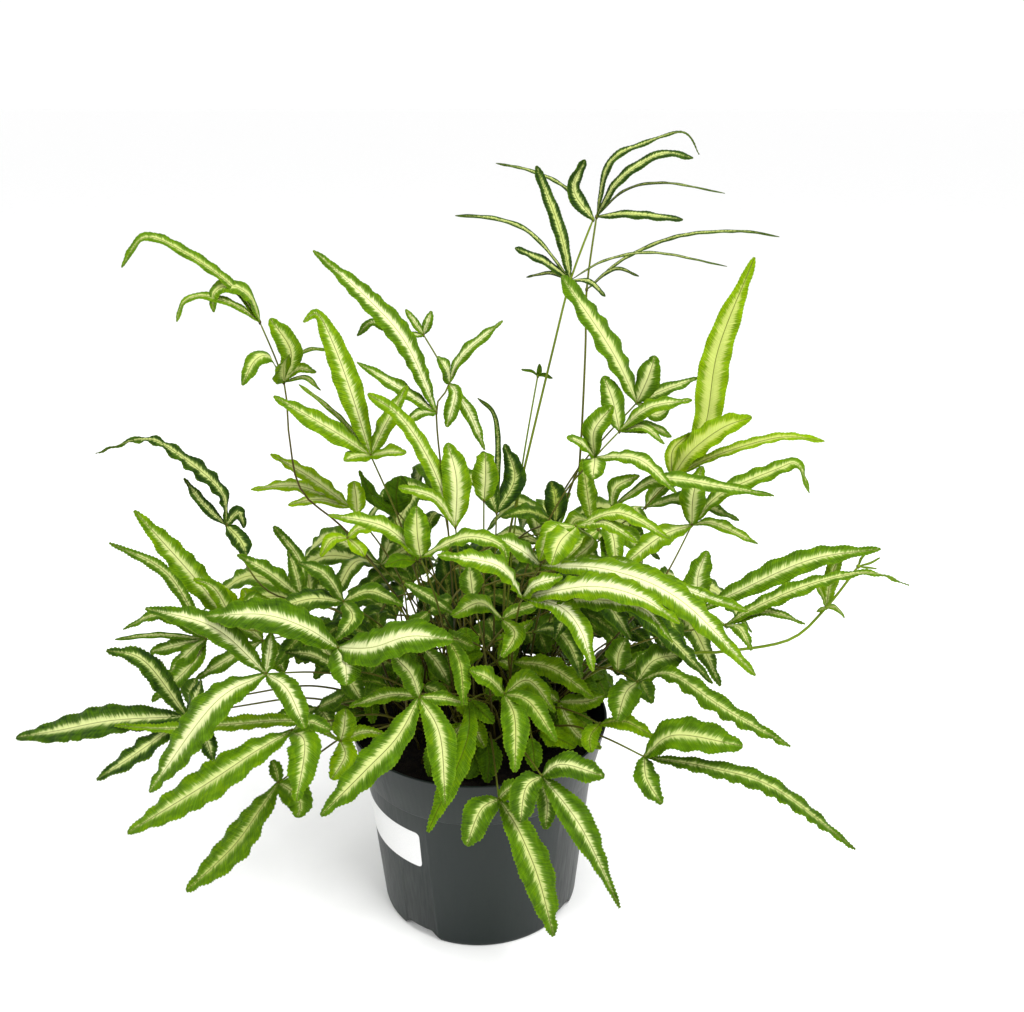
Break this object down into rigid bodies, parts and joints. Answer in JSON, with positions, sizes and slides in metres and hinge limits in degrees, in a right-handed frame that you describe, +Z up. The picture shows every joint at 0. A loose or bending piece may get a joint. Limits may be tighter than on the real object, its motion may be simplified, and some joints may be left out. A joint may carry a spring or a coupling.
{
  "type": "potted fern",
  "caption": "Variegated brake fern with ribbon-like, pale-banded leaflets on wiry stalks, in a plain round nursery pot with soil.",
  "frame": {"origin": "centre of the pot's base, on the surface it stands on", "axes": "+Z up along the pot's axis, -Y to the front that the picture shows, +X to the right of that view"},
  "size_m": [0.539, 0.3077, 0.4812],
  "materials": {
    "pot_plastic": "satin, dark slate grey moulded plastic",
    "soil": "dark crumbly potting soil",
    "label_paper": "smooth white, blank",
    "frond_green": "satin living leaf, deep green margins with a cream to yellow-green band along the middle"
  },
  "bodies": {
    "root": {"frond_back_1": "frond_green", "frond_back_2": "frond_green", "frond_back_3": "frond_green", "frond_back_4": "frond_green", "frond_back_5": "frond_green", "frond_back_6": "frond_green", "frond_back_7": "frond_green", "frond_front_1": "frond_green", "frond_front_2": "frond_green", "frond_front_3": "frond_green", "frond_front_4": "frond_green", "frond_front_5": "frond_green", "frond_high_left_1": "frond_green", "frond_high_left_2": "frond_green", "frond_high_left_3": "frond_green", "frond_high_left_4": "frond_green", "frond_left_1": "frond_green", "frond_left_10": "frond_green", "frond_left_11": "frond_green", "frond_left_12": "frond_green", "frond_left_13": "frond_green", "frond_left_2": "frond_green", "frond_left_3": "frond_green", "frond_left_4": "frond_green", "frond_left_5": "frond_green", "frond_left_6": "frond_green", "frond_left_7": "frond_green", "frond_left_8": "frond_green", "frond_left_9": "frond_green", "frond_low_1": "frond_green", "frond_low_2": "frond_green", "frond_low_3": "frond_green", "frond_middle_1": "frond_green", "frond_middle_2": "frond_green", "frond_middle_3": "frond_green", "frond_middle_4": "frond_green", "frond_middle_5": "frond_green", "frond_middle_6": "frond_green", "frond_middle_7": "frond_green", "frond_middle_8": "frond_green", "frond_middle_9": "frond_green", "frond_right_1": "frond_green", "frond_right_10": "frond_green", "frond_right_11": "frond_green", "frond_right_12": "frond_green", "frond_right_13": "frond_green", "frond_right_14": "frond_green", "frond_right_2": "frond_green", "frond_right_3": "frond_green", "frond_right_4": "frond_green", "frond_right_5": "frond_green", "frond_right_6": "frond_green", "frond_right_7": "frond_green", "frond_right_8": "frond_green", "frond_right_9": "frond_green", "frond_tall_1": "frond_green", "frond_tall_2": "frond_green", "label": "label_paper", "pot": "pot_plastic", "soil": "soil"}
  },
  "joints": []
}
